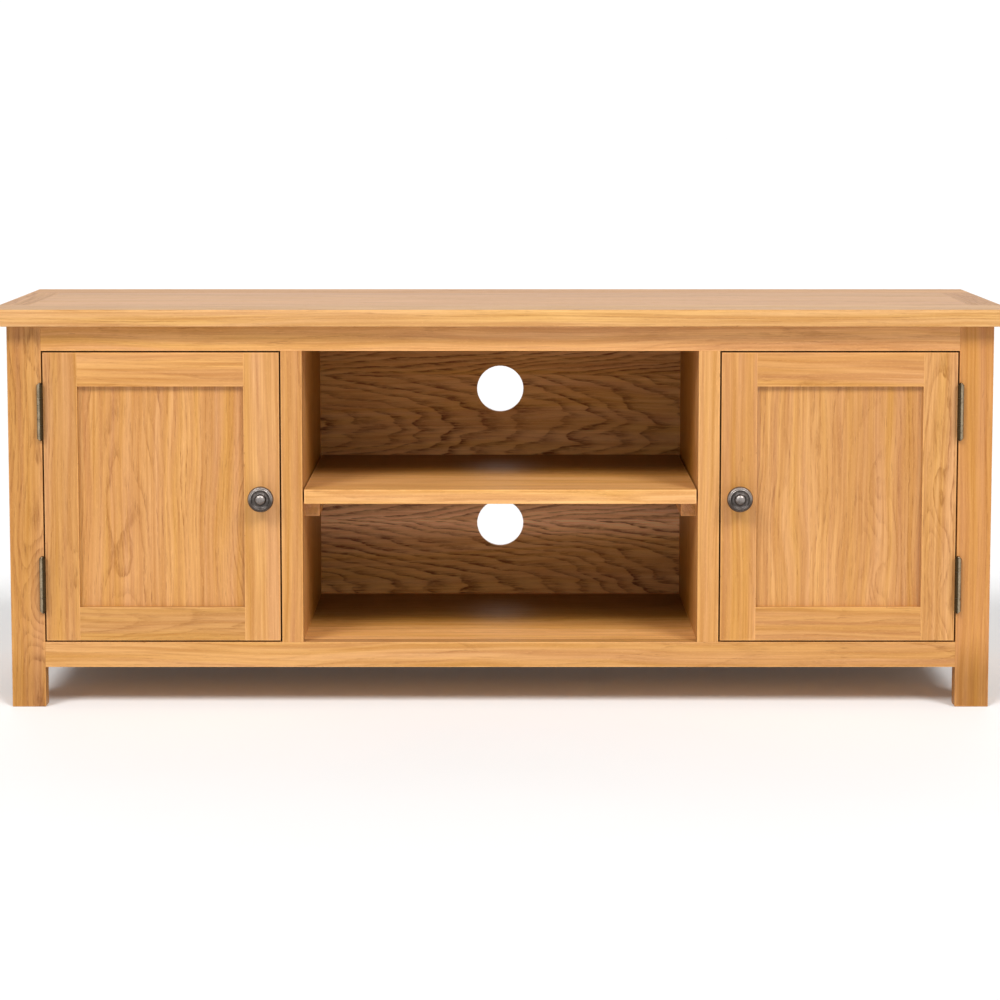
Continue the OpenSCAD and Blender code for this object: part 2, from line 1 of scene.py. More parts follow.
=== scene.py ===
import bpy
import bmesh
import math
import random
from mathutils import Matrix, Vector


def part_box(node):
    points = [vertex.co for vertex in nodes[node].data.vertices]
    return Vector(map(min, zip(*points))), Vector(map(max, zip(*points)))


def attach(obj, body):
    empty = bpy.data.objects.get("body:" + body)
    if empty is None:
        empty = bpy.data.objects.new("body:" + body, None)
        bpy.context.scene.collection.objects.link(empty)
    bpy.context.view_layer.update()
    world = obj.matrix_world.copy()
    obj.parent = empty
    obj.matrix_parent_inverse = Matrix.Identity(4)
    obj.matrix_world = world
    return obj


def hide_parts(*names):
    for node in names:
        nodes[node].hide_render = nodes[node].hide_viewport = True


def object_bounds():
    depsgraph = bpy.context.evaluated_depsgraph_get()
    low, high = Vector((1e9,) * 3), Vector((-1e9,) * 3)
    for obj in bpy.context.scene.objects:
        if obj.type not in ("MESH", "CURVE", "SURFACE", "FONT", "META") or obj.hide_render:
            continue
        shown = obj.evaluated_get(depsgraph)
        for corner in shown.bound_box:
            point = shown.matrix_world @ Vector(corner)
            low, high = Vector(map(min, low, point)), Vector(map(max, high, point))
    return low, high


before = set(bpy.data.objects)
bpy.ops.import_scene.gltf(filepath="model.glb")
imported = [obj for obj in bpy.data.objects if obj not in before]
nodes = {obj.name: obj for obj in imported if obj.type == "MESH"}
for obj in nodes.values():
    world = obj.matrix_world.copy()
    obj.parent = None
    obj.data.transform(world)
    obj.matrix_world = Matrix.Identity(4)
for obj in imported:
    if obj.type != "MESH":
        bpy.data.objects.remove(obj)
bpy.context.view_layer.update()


def mm(*v):
    return tuple(x * 0.001 for x in v) if len(v) > 1 else v[0] * 0.001


# ------------------------------------------------------------------ node helpers


class Tree:
    """Adds nodes to a tree in few words."""

    def __init__(self, tree):
        self.t = tree

    def node(self, kind, **props):
        n = self.t.nodes.new(kind)
        for k, v in props.items():
            setattr(n, k, v)
        return n

    def link(self, a, b):
        self.t.links.new(a, b)

    def put(self, value, socket):
        if isinstance(value, (int, float)):
            socket.default_value = value
        elif isinstance(value, (tuple, list)):
            socket.default_value = value
        else:
            self.link(value, socket)

    def math(self, op, a, b=None, c=None, clamp=False):
        n = self.node("ShaderNodeMath", operation=op, use_clamp=clamp)
        self.put(a, n.inputs[0])
        if b is not None:
            self.put(b, n.inputs[1])
        if c is not None:
            self.put(c, n.inputs[2])
        return n.outputs[0]

    def add(self, a, b):
        return self.math("ADD", a, b)

    def sub(self, a, b):
        return self.math("SUBTRACT", a, b)

    def mul(self, a, b):
        return self.math("MULTIPLY", a, b)

    def combine(self, x, y, z):
        n = self.node("ShaderNodeCombineXYZ")
        self.put(x, n.inputs[0]), self.put(y, n.inputs[1]), self.put(z, n.inputs[2])
        return n.outputs[0]

    def separate(self, v):
        n = self.node("ShaderNodeSeparateXYZ")
        self.link(v, n.inputs[0])
        return n.outputs

    def noise(self, vector, scale=1.0, detail=2.0, rough=0.5, distortion=0.0, dims="3D"):
        n = self.node("ShaderNodeTexNoise", noise_dimensions=dims)
        self.link(vector, n.inputs["Vector"])
        n.inputs["Scale"].default_value = scale
        n.inputs["Detail"].default_value = detail
        n.inputs["Roughness"].default_value = rough
        n.inputs["Distortion"].default_value = distortion
        return n.outputs["Fac"]

    def ramp(self, fac, stops, mode="EASE"):
        n = self.node("ShaderNodeValToRGB")
        n.color_ramp.interpolation = mode
        e = n.color_ramp.elements
        while len(e) > 1:
            e.remove(e[0])
        e[0].position, e[0].color = stops[0][0], _rgba(stops[0][1])
        for p, c in stops[1:]:
            s = e.new(p)
            s.color = _rgba(c)
        self.put(fac, n.inputs[0])
        return n.outputs[0]

    def span(self, v, a, b, lo=0.0, hi=1.0, smooth=False):
        n = self.node("ShaderNodeMapRange")
        if smooth:
            n.interpolation_type = "SMOOTHSTEP"
        n.clamp = True
        self.put(v, n.inputs["Value"])
        for k, x in (("From Min", a), ("From Max", b), ("To Min", lo), ("To Max", hi)):
            n.inputs[k].default_value = x
        return n.outputs[0]

    def mix(self, fac, a, b, blend="MIX"):
        n = self.node("ShaderNodeMix", data_type="RGBA", blend_type=blend)
        self.put(fac, n.inputs[0])
        for value, socket in ((a, n.inputs[6]), (b, n.inputs[7])):
            self.put(_rgba(value) if isinstance(value, (tuple, list)) else value, socket)
        return n.outputs[2]

    def hsv(self, color, hue=0.5, sat=1.0, val=1.0):
        n = self.node("ShaderNodeHueSaturation")
        self.put(hue, n.inputs["Hue"]), self.put(sat, n.inputs["Saturation"]), self.put(val, n.inputs["Value"])
        self.link(color, n.inputs["Color"])
        return n.outputs[0]


def _rgba(c):
    if isinstance(c, (int, float)):
        return (c, c, c, 1.0)
    return tuple(c) if len(c) == 4 else (*c, 1.0)


def srgb(r, g, b):
    """0..255 display values to linear."""
    return tuple(((x / 255 + 0.055) / 1.055) ** 2.4 if x > 10.3 else x / 255 / 12.92 for x in (r, g, b))


def new_material(name):
    m = bpy.data.materials.new(name)
    m.use_nodes = True
    m.node_tree.nodes.clear()
    t = Tree(m.node_tree)
    out = t.node("ShaderNodeOutputMaterial")
    bsdf = t.node("ShaderNodeBsdfPrincipled")
    t.link(bsdf.outputs[0], out.inputs[0])
    return m, t, bsdf


# ------------------------------------------------------------------ oak

# The oak's tones, linear albedo
OAK_LIGHT = srgb(219, 163, 99)
OAK_MID = srgb(198, 141, 78)
OAK_DEEP = srgb(162, 103, 43)
OAK_PORE = srgb(112, 62, 20)


def oak(name, grain="z", face="y", seed=0, cut="plain", pith=0.03, tilt=0.06, ring=3.2, wave=1.0, tone=1.0, warm=0.0, contrast=1.0, deep=0.0,
        centre=(0.0, 0.0, 0.0), rough=0.42, staves=0.0, off=0.0, knots=(), foot=0.0, dash=1.0, spec=0.30, coat=0.04, box=None, edge=0.35, faint=0.25, ink=0.0,
        rear=0.0, rear_y=(0.0, 0.1), painted_sheen=0.0, painted_sheen_z=0.0):
    """A piece of oiled oak. grain is the axis along the fibres, face the axis across the board's thickness.
    The growth rings are shells round a pith line that lies pith metres behind the face and climbs by tilt, so a cut
    shows cathedrals on the face and straight lines on the edges, as in a real board. ring is their spacing in
    millimetres.
    knots: (along, across, length, width, push), where the rings swell round a branch. foot is painted shade: it darkens
    the last centimetres over the floor and makes them slightly more saturated.
    box: the board's two corners, for the wear along its arrises. faint: how strong the weakest rings are.
    ink: how dark the ring lines are, 0 to 1. rear is painted shade: it darkens and deepens the board from rear_y[0]
    back to rear_y[1], adding to the shadow that falls there. bloom is a painted sheen: a paler, greyer band at the
    height painted_sheen_z, standing in for the sheen on the panel there."""
    rnd = random.Random(seed * 7919 + 17)
    m, t, bsdf = new_material(name)
    coord = t.node("ShaderNodeTexCoord").outputs["Object"]
    xyz = t.separate(coord)
    axis = {"x": 0, "y": 1, "z": 2}
    g, f = axis[grain], axis[face]
    s = 3 - g - f
    u = t.sub(xyz[g], centre[g])
    v = t.sub(xyz[s], centre[s] + off)
    w = t.sub(xyz[f], centre[f])
    o = [rnd.uniform(-40, 40) for _ in range(3)]

    # staves: boards glued side by side, each cut from its own place in the log
    shift_u, shift_v, tint = 0.0, 0.0, None
    if staves:
        k = t.math("FLOOR", t.math("DIVIDE", t.add(v, 0.37 * staves), staves))
        wn = t.node("ShaderNodeTexWhiteNoise", noise_dimensions="1D")
        t.put(t.add(k, seed * 3.7), wn.inputs["W"])
        tint = wn.outputs["Value"]
        col = t.separate(wn.outputs["Color"])
        shift_u = t.mul(col[0], 3.0)
        v = t.add(t.sub(v, t.mul(t.add(k, 0.13), staves)), t.mul(t.sub(col[1], 0.5), staves * 0.7))
        u = t.add(u, shift_u)

    # slow wander of the fibres
    slow = t.combine(t.add(t.mul(u, 2.6), o[0]), t.add(t.mul(v, 9.0), o[1]), t.add(t.mul(w, 9.0), o[2]))
    wander = t.sub(t.noise(slow, 1.0, 2.0, 0.5), 0.5)
    slow2 = t.combine(t.add(t.mul(u, 7.0), o[1]), t.add(t.mul(v, 30.0), o[2]), t.add(t.mul(w, 30.0), o[0]))
    wander2 = t.sub(t.noise(slow2, 1.0, 2.0, 0.55), 0.5)
    quick = t.combine(t.add(t.mul(u, 38.0), o[2]), t.add(t.mul(v, 170.0), o[0]), t.add(t.mul(w, 170.0), o[1]))
    jitter = t.sub(t.noise(quick, 1.0, 2.0, 0.6), 0.5)
    vv = t.add(v, t.mul(wander, 0.030 * wave))
    ww = t.add(t.add(w, pith), t.mul(u, tilt))
    ww = t.add(ww, t.mul(wander2, 0.012 * wave))
    r = t.math("SQRT", t.add(t.mul(vv, vv), t.mul(ww, ww)))
    r = t.add(r, t.mul(jitter, 0.0016 * wave))
    for ku, kv, su, sv, push in knots:
        a = t.math("DIVIDE", t.sub(u, ku), su)
        b = t.math("DIVIDE", t.sub(v, kv), sv)
        d = t.add(t.mul(a, a), t.mul(b, b))
        r = t.add(r, t.mul(t.math("EXPONENT", t.mul(d, -1.0)), push))
    rings = t.math("DIVIDE", r, ring * 0.001)
    # uneven years
    years = t.noise(t.combine(t.mul(rings, 0.23), o[0], o[1]), 1.0, 1.0, 0.5)
    rings = t.add(rings, t.mul(years, 1.6))
    phase = t.math("FRACT", rings)
    # a year: open early wood, dark and sharp at its start, fading into pale late wood
    year = t.ramp(phase, [(0.0, 0.12), (0.08, 1.0), (0.26, 0.70), (0.50, 0.25), (0.74, 0.05), (0.92, 0.05), (1.0, 0.12)], "LINEAR")
    strong = t.noise(t.combine(t.mul(t.math("FLOOR", rings), 0.71), o[2], t.add(t.mul(u, 1.7), o[0])), 1.0, 0.0, 0.5)
    year = t.mul(year, t.span(strong, 0.34, 0.66, faint, 1.25))

    # pores: short dark strokes along the fibres, most of them in the early wood
    pv = t.combine(t.add(t.mul(u, 62.0 / dash), o[0]), t.add(t.mul(v, 1250.0 / dash), o[1]), t.add(t.mul(w, 1250.0 / dash), o[2]))
    pore_n = t.noise(pv, 1.0, 1.0, 0.5)
    pores = t.span(pore_n, 0.56, 0.70, 0.0, 1.0, True)
    pores = t.mul(pores, t.span(year, 0.05, 0.75, 0.25, 1.0))
    # broken edges of the year lines, where pores make them up
    bv = t.combine(t.add(t.mul(u, 55.0 / dash), o[2]), t.add(t.mul(v, 420.0 / dash), o[0]), t.add(t.mul(w, 420.0 / dash), o[1]))
    broken = t.noise(bv, 1.0, 2.0, 0.65)
    line = t.mul(year, t.span(broken, 0.36, 0.62, 0.25, 1.1))
    # places where the figure fades
    fade = t.noise(t.combine(t.add(t.mul(u, 7.0), o[2]), t.add(t.mul(v, 32.0), o[1]), t.add(t.mul(w, 32.0), o[2])), 1.0, 2.0, 0.55)
    line = t.mul(line, t.span(fade, 0.36, 0.62, faint, 1.15, True))
    # fibres
    fv = t.combine(t.add(t.mul(u, 9.0), o[1]), t.add(t.mul(v, 620.0), o[2]), t.add(t.mul(w, 620.0), o[0]))
    fibre = t.noise(fv, 1.0, 3.0, 0.6)
    # broad bands of tone
    tv = t.combine(t.add(t.mul(u, 1.3), o[2]), t.add(t.mul(v, 26.0), o[1]), t.add(t.mul(w, 26.0), o[0]))
    broad = t.noise(tv, 1.0, 2.0, 0.5)
    mv = t.combine(t.add(t.mul(u, 9.0), o[1]), t.add(t.mul(v, 60.0), o[0]), t.add(t.mul(w, 60.0), o[2]))
    mottle = t.noise(mv, 1.0, 2.0, 0.5)
    # streaks a few millimetres wide, some redder, some more olive
    kv = t.combine(t.add(t.mul(u, 4.0), o[0]), t.add(t.mul(vv, 210.0), o[1]), t.add(t.mul(w, 210.0), o[2]))
    streak = t.noise(kv, 1.0, 2.0, 0.55)
    hv = t.combine(t.add(t.mul(u, 2.2), o[1]), t.add(t.mul(vv, 75.0), o[2]), t.add(t.mul(w, 75.0), o[0]))
    hues = t.noise(hv, 1.0, 2.0, 0.5)
    # ray flecks, small pale ticks
    rv = t.combine(t.add(t.mul(u, 260.0), o[0]), t.add(t.mul(v, 1300.0), o[2]), t.add(t.mul(w, 1300.0), o[1]))
    ray = t.span(t.noise(rv, 1.0, 0.0, 0.5), 0.66, 0.76, 0.0, 1.0)

    warmth = (1.0 + 0.06 * warm, 1.0 - 0.03 * warm, 1.0 - 0.16 * warm)
    shade = lambda c, k=1.0: tuple(x * y * k * tone for x, y in zip(c, warmth))
    base = t.mix(t.span(broad, 0.30, 0.70), shade(OAK_MID), shade(OAK_LIGHT))
    base = t.mix(t.mul(t.span(mottle, 0.38, 0.70), 0.45), base, shade(OAK_MID, 0.92))
    base = t.mix(t.mul(t.span(streak, 0.40, 0.64), 0.52), base, shade(OAK_DEEP, 1.08))
    base = t.mix(t.mul(t.span(fibre, 0.38, 0.70), 0.38), base, shade(OAK_DEEP, 1.12))
    line_tone = tuple(a + (b - a) * ink for a, b in zip(shade(OAK_DEEP, 0.94), shade(OAK_PORE)))
    base = t.mix(t.math("MINIMUM", t.mul(line, 0.52 * contrast), 0.95), base, line_tone)
    base = t.mix(t.mul(pores, min(0.9, 0.36 * contrast)), base, shade(OAK_PORE))
    base = t.mix(t.mul(ray, 0.16), base, shade(OAK_LIGHT, 1.1))
    if deep:
        base = t.mix(deep, base, shade(OAK_PORE, 0.9))
    value = t.span(tint, 0.0, 1.0, 0.93, 1.06) if tint is not None else 1.0
    # painted shade: darker towards the floor, by foot
    if foot:
        value = t.mul(t.span(xyz[2], 0.030, 0.095, 1.0 - foot, 1.0, True), value)
    # painted shade: darker towards the rear of the bay
    if rear:
        value = t.mul(t.span(t.add(xyz[1], t.mul(wander, 0.02)), *rear_y, 1.0, 1.0 - rear, True), value)
    base = t.hsv(base, t.span(hues, 0.32, 0.68, 0.4975, 0.5045), t.span(hues, 0.30, 0.70, 0.95, 1.03), value)
    # painted shade over the floor: slightly more saturated there
    if foot:
        base = t.hsv(base, 0.5, t.span(xyz[2], 0.030, 0.095, 1.04, 1.0, True), 1.0)
    # painted shade at the rear: more saturated there
    if rear:
        base = t.hsv(base, 0.5, t.span(xyz[1], *rear_y, 1.0, 1.13, True), 1.0)
    # painted sheen: a paler, greyer band round the given height, standing in for the sheen on the back panel
    if painted_sheen:
        reach = t.math("DIVIDE", t.sub(xyz[2], painted_sheen_z), 0.026)
        painted_sheen_mask = t.mul(t.math("EXPONENT", t.mul(t.mul(reach, reach), -1.0)), t.mul(t.span(broad, 0.25, 0.75, 0.6, 1.1), painted_sheen))
        base = t.mix(painted_sheen_mask, base, t.hsv(base, 0.497, 0.82, 1.80))
    worn = None
    if box:
        # how far the point is from the nearest arris: the middle one of the three distances to the board's faces
        half = [(b - a) / 2 for a, b in zip(*box)]
        mid = [(b + a) / 2 for a, b in zip(*box)]
        d = [t.sub(h, t.math("ABSOLUTE", t.sub(c, k))) for h, k, c in zip(half, mid, xyz)]
        low, high = t.math("MINIMUM", d[0], d[1]), t.math("MAXIMUM", d[0], d[1])
        near = t.math("MAXIMUM", low, t.math("MINIMUM", high, d[2]))
        rub = t.noise(coord, 34.0, 3.0, 0.65)
        reach = t.span(rub, 0.35, 0.70, 0.0006, 0.0034)
        worn = t.math("SUBTRACT", 1.0, t.math("DIVIDE", near, reach), clamp=True)
        base = t.mix(t.mul(worn, edge), base, shade(OAK_LIGHT, 1.22))
        nick = t.mul(t.span(t.noise(coord, 150.0, 2.0, 0.6), 0.66, 0.72, 0.0, 1.0, True), t.span(near, 0.0, 0.0018, 1.0, 0.0))
        base = t.mix(t.mul(nick, 0.5), base, shade(OAK_PORE))
    t.link(base, bsdf.inputs["Base Color"])

    rgh = t.add(rough, t.add(t.mul(t.sub(fibre, 0.5), 0.16), t.mul(pores, 0.18)))
    if worn is not None:
        rgh = t.sub(rgh, t.mul(worn, 0.10))
    t.link(rgh, bsdf.inputs["Roughness"])
    bsdf.inputs["Specular IOR Level"].default_value = spec
    bsdf.inputs["Coat Weight"].default_value = coat
    bsdf.inputs["Coat Roughness"].default_value = 0.28

    height = t.add(t.mul(pores, -0.9), t.add(t.mul(line, -0.35), t.mul(fibre, 0.35)))
    bump = t.node("ShaderNodeBump")
    bump.inputs["Strength"].default_value = 0.35
    bump.inputs["Distance"].default_value = 0.00025
    t.link(height, bump.inputs["Height"])
    t.link(bump.outputs[0], bsdf.inputs["Normal"])
    return m


# ------------------------------------------------------------------ metals and plastic


def metal(name, base, dark, rub, rough=0.38, grime=0.5, scale=900.0, worn=None):
    """Aged metal: a dark patina, rubbed bright in patches, finely pitted. worn(tree, coord) says where it's bright,
    0..1: where it's handled, and on the knobs and hinges where a painted highlight falls, with painted shade where it
    stays low.
    """
    m, t, bsdf = new_material(name)
    coord = t.node("ShaderNodeTexCoord").outputs["Object"]
    big = t.noise(coord, scale * 0.25, 3.0, 0.6)
    fine = t.noise(coord, scale * 1.6, 3.0, 0.65)
    pits = t.span(t.noise(coord, scale * 2.6, 1.0, 0.5), 0.60, 0.72, 0.0, 1.0, True)
    # shine carries wear and, for the knobs and hinges, painted highlight and shade
    shine = worn(t, coord) if worn else 0.5
    col = t.mix(t.span(t.add(t.mul(big, 0.55), t.mul(shine, 0.45)), 0.34, 0.66), dark, base)
    col = t.mix(t.mul(t.span(fine, 0.44, 0.70), t.mul(shine, 0.9)), col, rub)
    col = t.mix(t.mul(pits, grime), col, tuple(x * 0.35 for x in dark))
    t.link(col, bsdf.inputs["Base Color"])
    bsdf.inputs["Metallic"].default_value = 1.0
    t.link(t.add(t.mul(big, 0.22), t.add(rough - 0.11, t.mul(pits, 0.25))), bsdf.inputs["Roughness"])
    bump = t.node("ShaderNodeBump")
    bump.inputs["Strength"].default_value = 0.5
    bump.inputs["Distance"].default_value = 0.00012
    t.link(t.add(t.mul(fine, 0.6), t.mul(pits, -0.8)), bump.inputs["Height"])
    t.link(bump.outputs[0], bsdf.inputs["Normal"])
    return m


def brushed(name, color, rough=0.32):
    m, t, bsdf = new_material(name)
    coord = t.node("ShaderNodeTexCoord").outputs["Object"]
    x, y, z = t.separate(coord)
    streak = t.noise(t.combine(t.mul(x, 2600.0), t.mul(y, 2600.0), t.mul(z, 160.0)), 1.0, 2.0, 0.6)
    spots = t.noise(coord, 420.0, 3.0, 0.6)
    t.link(t.mix(t.span(spots, 0.35, 0.7), color, tuple(c * 0.78 for c in color)), bsdf.inputs["Base Color"])
    bsdf.inputs["Metallic"].default_value = 1.0
    t.link(t.add(rough - 0.10, t.mul(streak, 0.22)), bsdf.inputs["Roughness"])
    bump = t.node("ShaderNodeBump")
    bump.inputs["Strength"].default_value = 0.3
    bump.inputs["Distance"].default_value = 0.00005
    t.link(streak, bump.inputs["Height"])
    t.link(bump.outputs[0], bsdf.inputs["Normal"])
    return m


def plastic(name, color):
    m, t, bsdf = new_material(name)
    coord = t.node("ShaderNodeTexCoord").outputs["Object"]
    grain = t.noise(coord, 2400.0, 2.0, 0.5)
    tone = t.noise(coord, 160.0, 2.0, 0.5)
    t.link(t.mix(tone, color, tuple(c * 1.25 for c in color)), bsdf.inputs["Base Color"])
    t.link(t.add(0.42, t.mul(grain, 0.2)), bsdf.inputs["Roughness"])
    bump = t.node("ShaderNodeBump")
    bump.inputs["Strength"].default_value = 0.4
    bump.inputs["Distance"].default_value = 0.00008
    t.link(grain, bump.inputs["Height"])
    t.link(bump.outputs[0], bsdf.inputs["Normal"])
    return m


# ------------------------------------------------------------------ the wooden nodes


def centre_of(name):
    lo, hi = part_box(name)
    return tuple((a + b) / 2 for a, b in zip(lo, hi))


def dress(name, material, bevel=0.35, segments=2):
    """Gives a CAD node its material and eases its sharp arrises by bevel millimetres."""
    o = nodes[name]
    o.data.materials.clear()
    o.data.materials.append(material)
    weld = o.modifiers.new("weld", "WELD")
    weld.merge_threshold = 1e-6
    if bevel:
        b = o.modifiers.new("ease", "BEVEL")
        b.width = mm(bevel)
        b.segments = segments
        b.limit_method = "ANGLE"
        b.angle_limit = math.radians(40)
        b.miter_outer = "MITER_ARC"
        b.use_clamp_overlap = True
        b.harden_normals = False
    n = o.modifiers.new("normals", "WEIGHTED_NORMAL")
    n.keep_sharp = False
    n.weight = 80
    for p in o.data.polygons:
        p.use_smooth = True
    return o


# height of the painted sheen band on the lower back panel, 64 mm below the shelf's underside
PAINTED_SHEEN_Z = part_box("center_shelf")[0][2] - 0.064

WOOD = {
    # top
    "top_field": dict(grain="x", face="z", coat=0.15, spec=0.4, seed=1, pith=0.05, tilt=0.012, ring=3.4, staves=0.074, contrast=0.8, wave=0.8),
    "top_front_board": dict(grain="x", face="y", seed=2, pith=0.020, tilt=0.010, ring=2.6, contrast=0.9, wave=0.7, tone=1.13, coat=0.12, warm=-1.1),
    "top_back_board": dict(grain="x", face="z", seed=3, pith=0.045, tilt=0.015, ring=3.0, contrast=0.8),
    "top_left_end_board": dict(grain="y", face="z", seed=4, pith=0.03, tilt=0.02, ring=2.8, tone=0.93),
    "top_right_end_board": dict(grain="y", face="z", seed=5, pith=0.03, tilt=0.02, ring=2.8, tone=0.90),
    # legs; foot is painted shade over the floor
    "front_left_post": dict(grain="z", face="y", seed=6, pith=0.034, tilt=0.030, ring=4.4, tone=0.93, wave=1.2, warm=0.1, foot=0.2, faint=0.6, contrast=1.5, ink=0.25,
                            knots=[(-0.098, 0.016, 0.050, 0.020, 0.026), (0.12, -0.02, 0.06, 0.012, 0.010)]),
    "front_right_post": dict(grain="z", face="y", seed=7, pith=0.045, tilt=0.02, ring=3.4, tone=0.87, contrast=0.8, warm=0.9, foot=0.34),
    "back_left_post": dict(grain="z", face="y", seed=8, pith=0.035, tilt=0.05, ring=3.2, tone=0.95, foot=0.12),
    "back_right_post": dict(grain="z", face="y", seed=9, pith=0.035, tilt=0.05, ring=3.2, tone=0.97, foot=0.12),
    # sides
    "left_side_front_stile": dict(grain="z", face="x", seed=10, pith=0.03, tilt=0.05, ring=3.4, tone=0.97),
    "left_side_back_stile": dict(grain="z", face="x", seed=11, pith=0.03, tilt=0.05, ring=3.4),
    "left_side_top_rail": dict(grain="y", face="x", seed=12, pith=0.03, tilt=0.05, ring=3.4, tone=1.03),
    "left_side_bottom_rail": dict(grain="y", face="x", seed=13, pith=0.03, tilt=0.05, ring=3.4),
    "left_side_panel": dict(grain="z", face="x", seed=14, pith=0.045, tilt=0.085, ring=4.6, wave=1.5, contrast=1.05),
    "right_side_front_stile": dict(grain="z", face="x", seed=15, pith=0.03, tilt=0.05, ring=3.4, tone=0.95),
    "right_side_back_stile": dict(grain="z", face="x", seed=16, pith=0.03, tilt=0.04, ring=3.2),
    "right_side_top_rail": dict(grain="y", face="x", seed=17, pith=0.03, tilt=0.05, ring=3.4, tone=1.02),
    "right_side_bottom_rail": dict(grain="y", face="x", seed=18, pith=0.03, tilt=0.06, ring=3.4),
    "right_side_panel": dict(grain="z", face="x", seed=19, pith=0.04, tilt=0.08, ring=4.6, wave=1.5, contrast=1.05),
    # face frame
    "face_top_rail": dict(grain="x", face="y", seed=20, pith=0.05, tilt=0.010, ring=3.0, contrast=0.8, tone=1.16, warm=-0.3),
    "face_bottom_rail": dict(grain="x", face="y", seed=21, pith=0.028, tilt=0.045, ring=4.0, contrast=0.9, tone=1.0, warm=-0.4),
    "left_center_stile": dict(grain="z", face="y", seed=22, pith=0.05, tilt=0.015, ring=2.8, contrast=0.9, warm=0.1, tone=0.95),
    "right_center_stile": dict(grain="z", face="y", seed=23, pith=0.05, tilt=0.015, ring=3.0, contrast=0.5, tone=1.02, warm=-0.2),
    # inside; rear is painted shade towards the back of the bays
    "left_divider": dict(grain="z", face="x", seed=24, pith=0.04, tilt=0.05, ring=3.6, staves=0.09, tone=1.04, warm=0.0, rear=0.38, rear_y=(-0.13, 0.05)),
    "right_divider": dict(grain="z", face="x", seed=25, pith=0.04, tilt=0.05, ring=3.6, staves=0.09, tone=1.0, warm=0.0, rear=0.42, rear_y=(-0.14, 0.04)),
    "bottom_board": dict(grain="x", face="z", seed=26, pith=0.04, tilt=0.03, ring=3.6, staves=0.09, contrast=0.9, tone=1.38, rough=0.5, warm=-0.9, rear=0.72, rear_y=(-0.105, 0.03)),
    "back_top_rail": dict(grain="x", face="y", seed=27, pith=0.05, tilt=0.02, ring=3.0),
    "back_bottom_rail": dict(grain="x", face="y", seed=28, pith=0.05, tilt=0.02, ring=3.0),
    # the back panel's bloom is a painted sheen band below the shelf
    "back_panel": dict(grain="x", face="y", seed=29, pith=0.040, tilt=0.120, ring=5.2, wave=1.5, contrast=1.62, ink=1.15, tone=1.30, rough=0.55, warm=-0.8, dash=1.1, spec=0.06,
                       painted_sheen=1.0, painted_sheen_z=PAINTED_SHEEN_Z,
                       coat=0.0, faint=0.75, staves=0.19, knots=[(-0.17, 0.02, 0.06, 0.03, 0.035), (0.10, 0.06, 0.08, 0.03, 0.035), (0.02, -0.07, 0.08, 0.03, 0.035),
                                                               (0.19, -0.02, 0.05, 0.03, 0.03)]),
    "center_shelf": dict(grain="x", face="z", seed=30, pith=0.05, tilt=0.012, ring=3.4, contrast=0.6, tone=1.24, rough=0.5, warm=-0.8, rear=0.70, rear_y=(-0.06, 0.06)),
    "left_shelf_cleat": dict(grain="y", face="x", seed=31, pith=0.03, tilt=0.03, ring=3.0),
    "right_shelf_cleat": dict(grain="y", face="x", seed=32, pith=0.03, tilt=0.03, ring=3.0),
    "top_fixing_blocks": dict(grain="x", face="y", seed=33, pith=0.03, tilt=0.03, ring=3.0),
    # left door
    "left_door_hinge_stile": dict(grain="z", face="y", seed=40, pith=0.05, tilt=0.010, ring=2.7, contrast=1.0, tone=0.92),
    "left_door_lock_stile": dict(grain="z", face="y", seed=41, pith=0.06, tilt=0.008, ring=3.4, contrast=0.4, tone=0.97, warm=-0.1),
    "left_door_top_rail": dict(grain="x", face="y", seed=42, pith=0.05, tilt=0.020, ring=3.0, contrast=0.6, tone=0.98),
    "left_door_bottom_rail": dict(grain="x", face="y", seed=43, pith=0.035, tilt=0.060, ring=3.4, contrast=0.7, tone=0.91, warm=-0.3),
    "left_door_panel": dict(grain="z", face="y", seed=44, pith=0.040, tilt=0.075, ring=5.0, off=-0.045, tone=0.98, wave=1.5, contrast=1.1,
                            knots=[(-0.03, 0.095, 0.07, 0.022, 0.024), (-0.085, -0.045, 0.05, 0.016, 0.010)]),
    # right door
    "right_door_hinge_stile": dict(grain="z", face="y", seed=50, pith=0.022, tilt=0.055, ring=3.4, contrast=1.25, tone=0.94, faint=0.6, off=0.0,
                                   knots=[(-0.01, 0.0, 0.05, 0.012, 0.012), (-0.13, 0.002, 0.04, 0.012, 0.012)]),
    "right_door_lock_stile": dict(grain="z", face="y", seed=51, pith=0.05, tilt=0.010, ring=3.6, contrast=0.7, tone=0.94, warm=0.2),
    "right_door_top_rail": dict(grain="x", face="y", seed=52, pith=0.05, tilt=0.020, ring=3.0, contrast=0.6, tone=0.98),
    "right_door_bottom_rail": dict(grain="x", face="y", seed=53, pith=0.035, tilt=0.040, ring=3.0, contrast=0.9, tone=0.92),
    "right_door_panel": dict(grain="z", face="y", seed=54, pith=0.045, tilt=0.070, ring=5.0, off=0.03, tone=0.95, wave=1.7, contrast=1.0,
                             knots=[(0.0, 0.048, 0.045, 0.014, 0.014), (0.03, -0.055, 0.05, 0.014, 0.014), (-0.10, 0.05, 0.03, 0.012, 0.010)]),
}

for name, kw in WOOD.items():
    c = list(centre_of(name))
    rnd = random.Random(kw["seed"])
    g = {"x": 0, "y": 1, "z": 2}[kw["grain"]]
    slide = rnd.uniform(-0.15, 0.15)
    c[g] += slide
    kw = {"off": rnd.uniform(-0.02, 0.02), **kw}
    kw["knots"] = [(ku - slide, kv - kw["off"], *rest) for ku, kv, *rest in kw.get("knots", [])]
    blo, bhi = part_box(name)
    dress(name, oak("oak_" + name, centre=tuple(c), box=(tuple(blo), tuple(bhi)), **kw), 0.35)

# ------------------------------------------------------------------ hardware



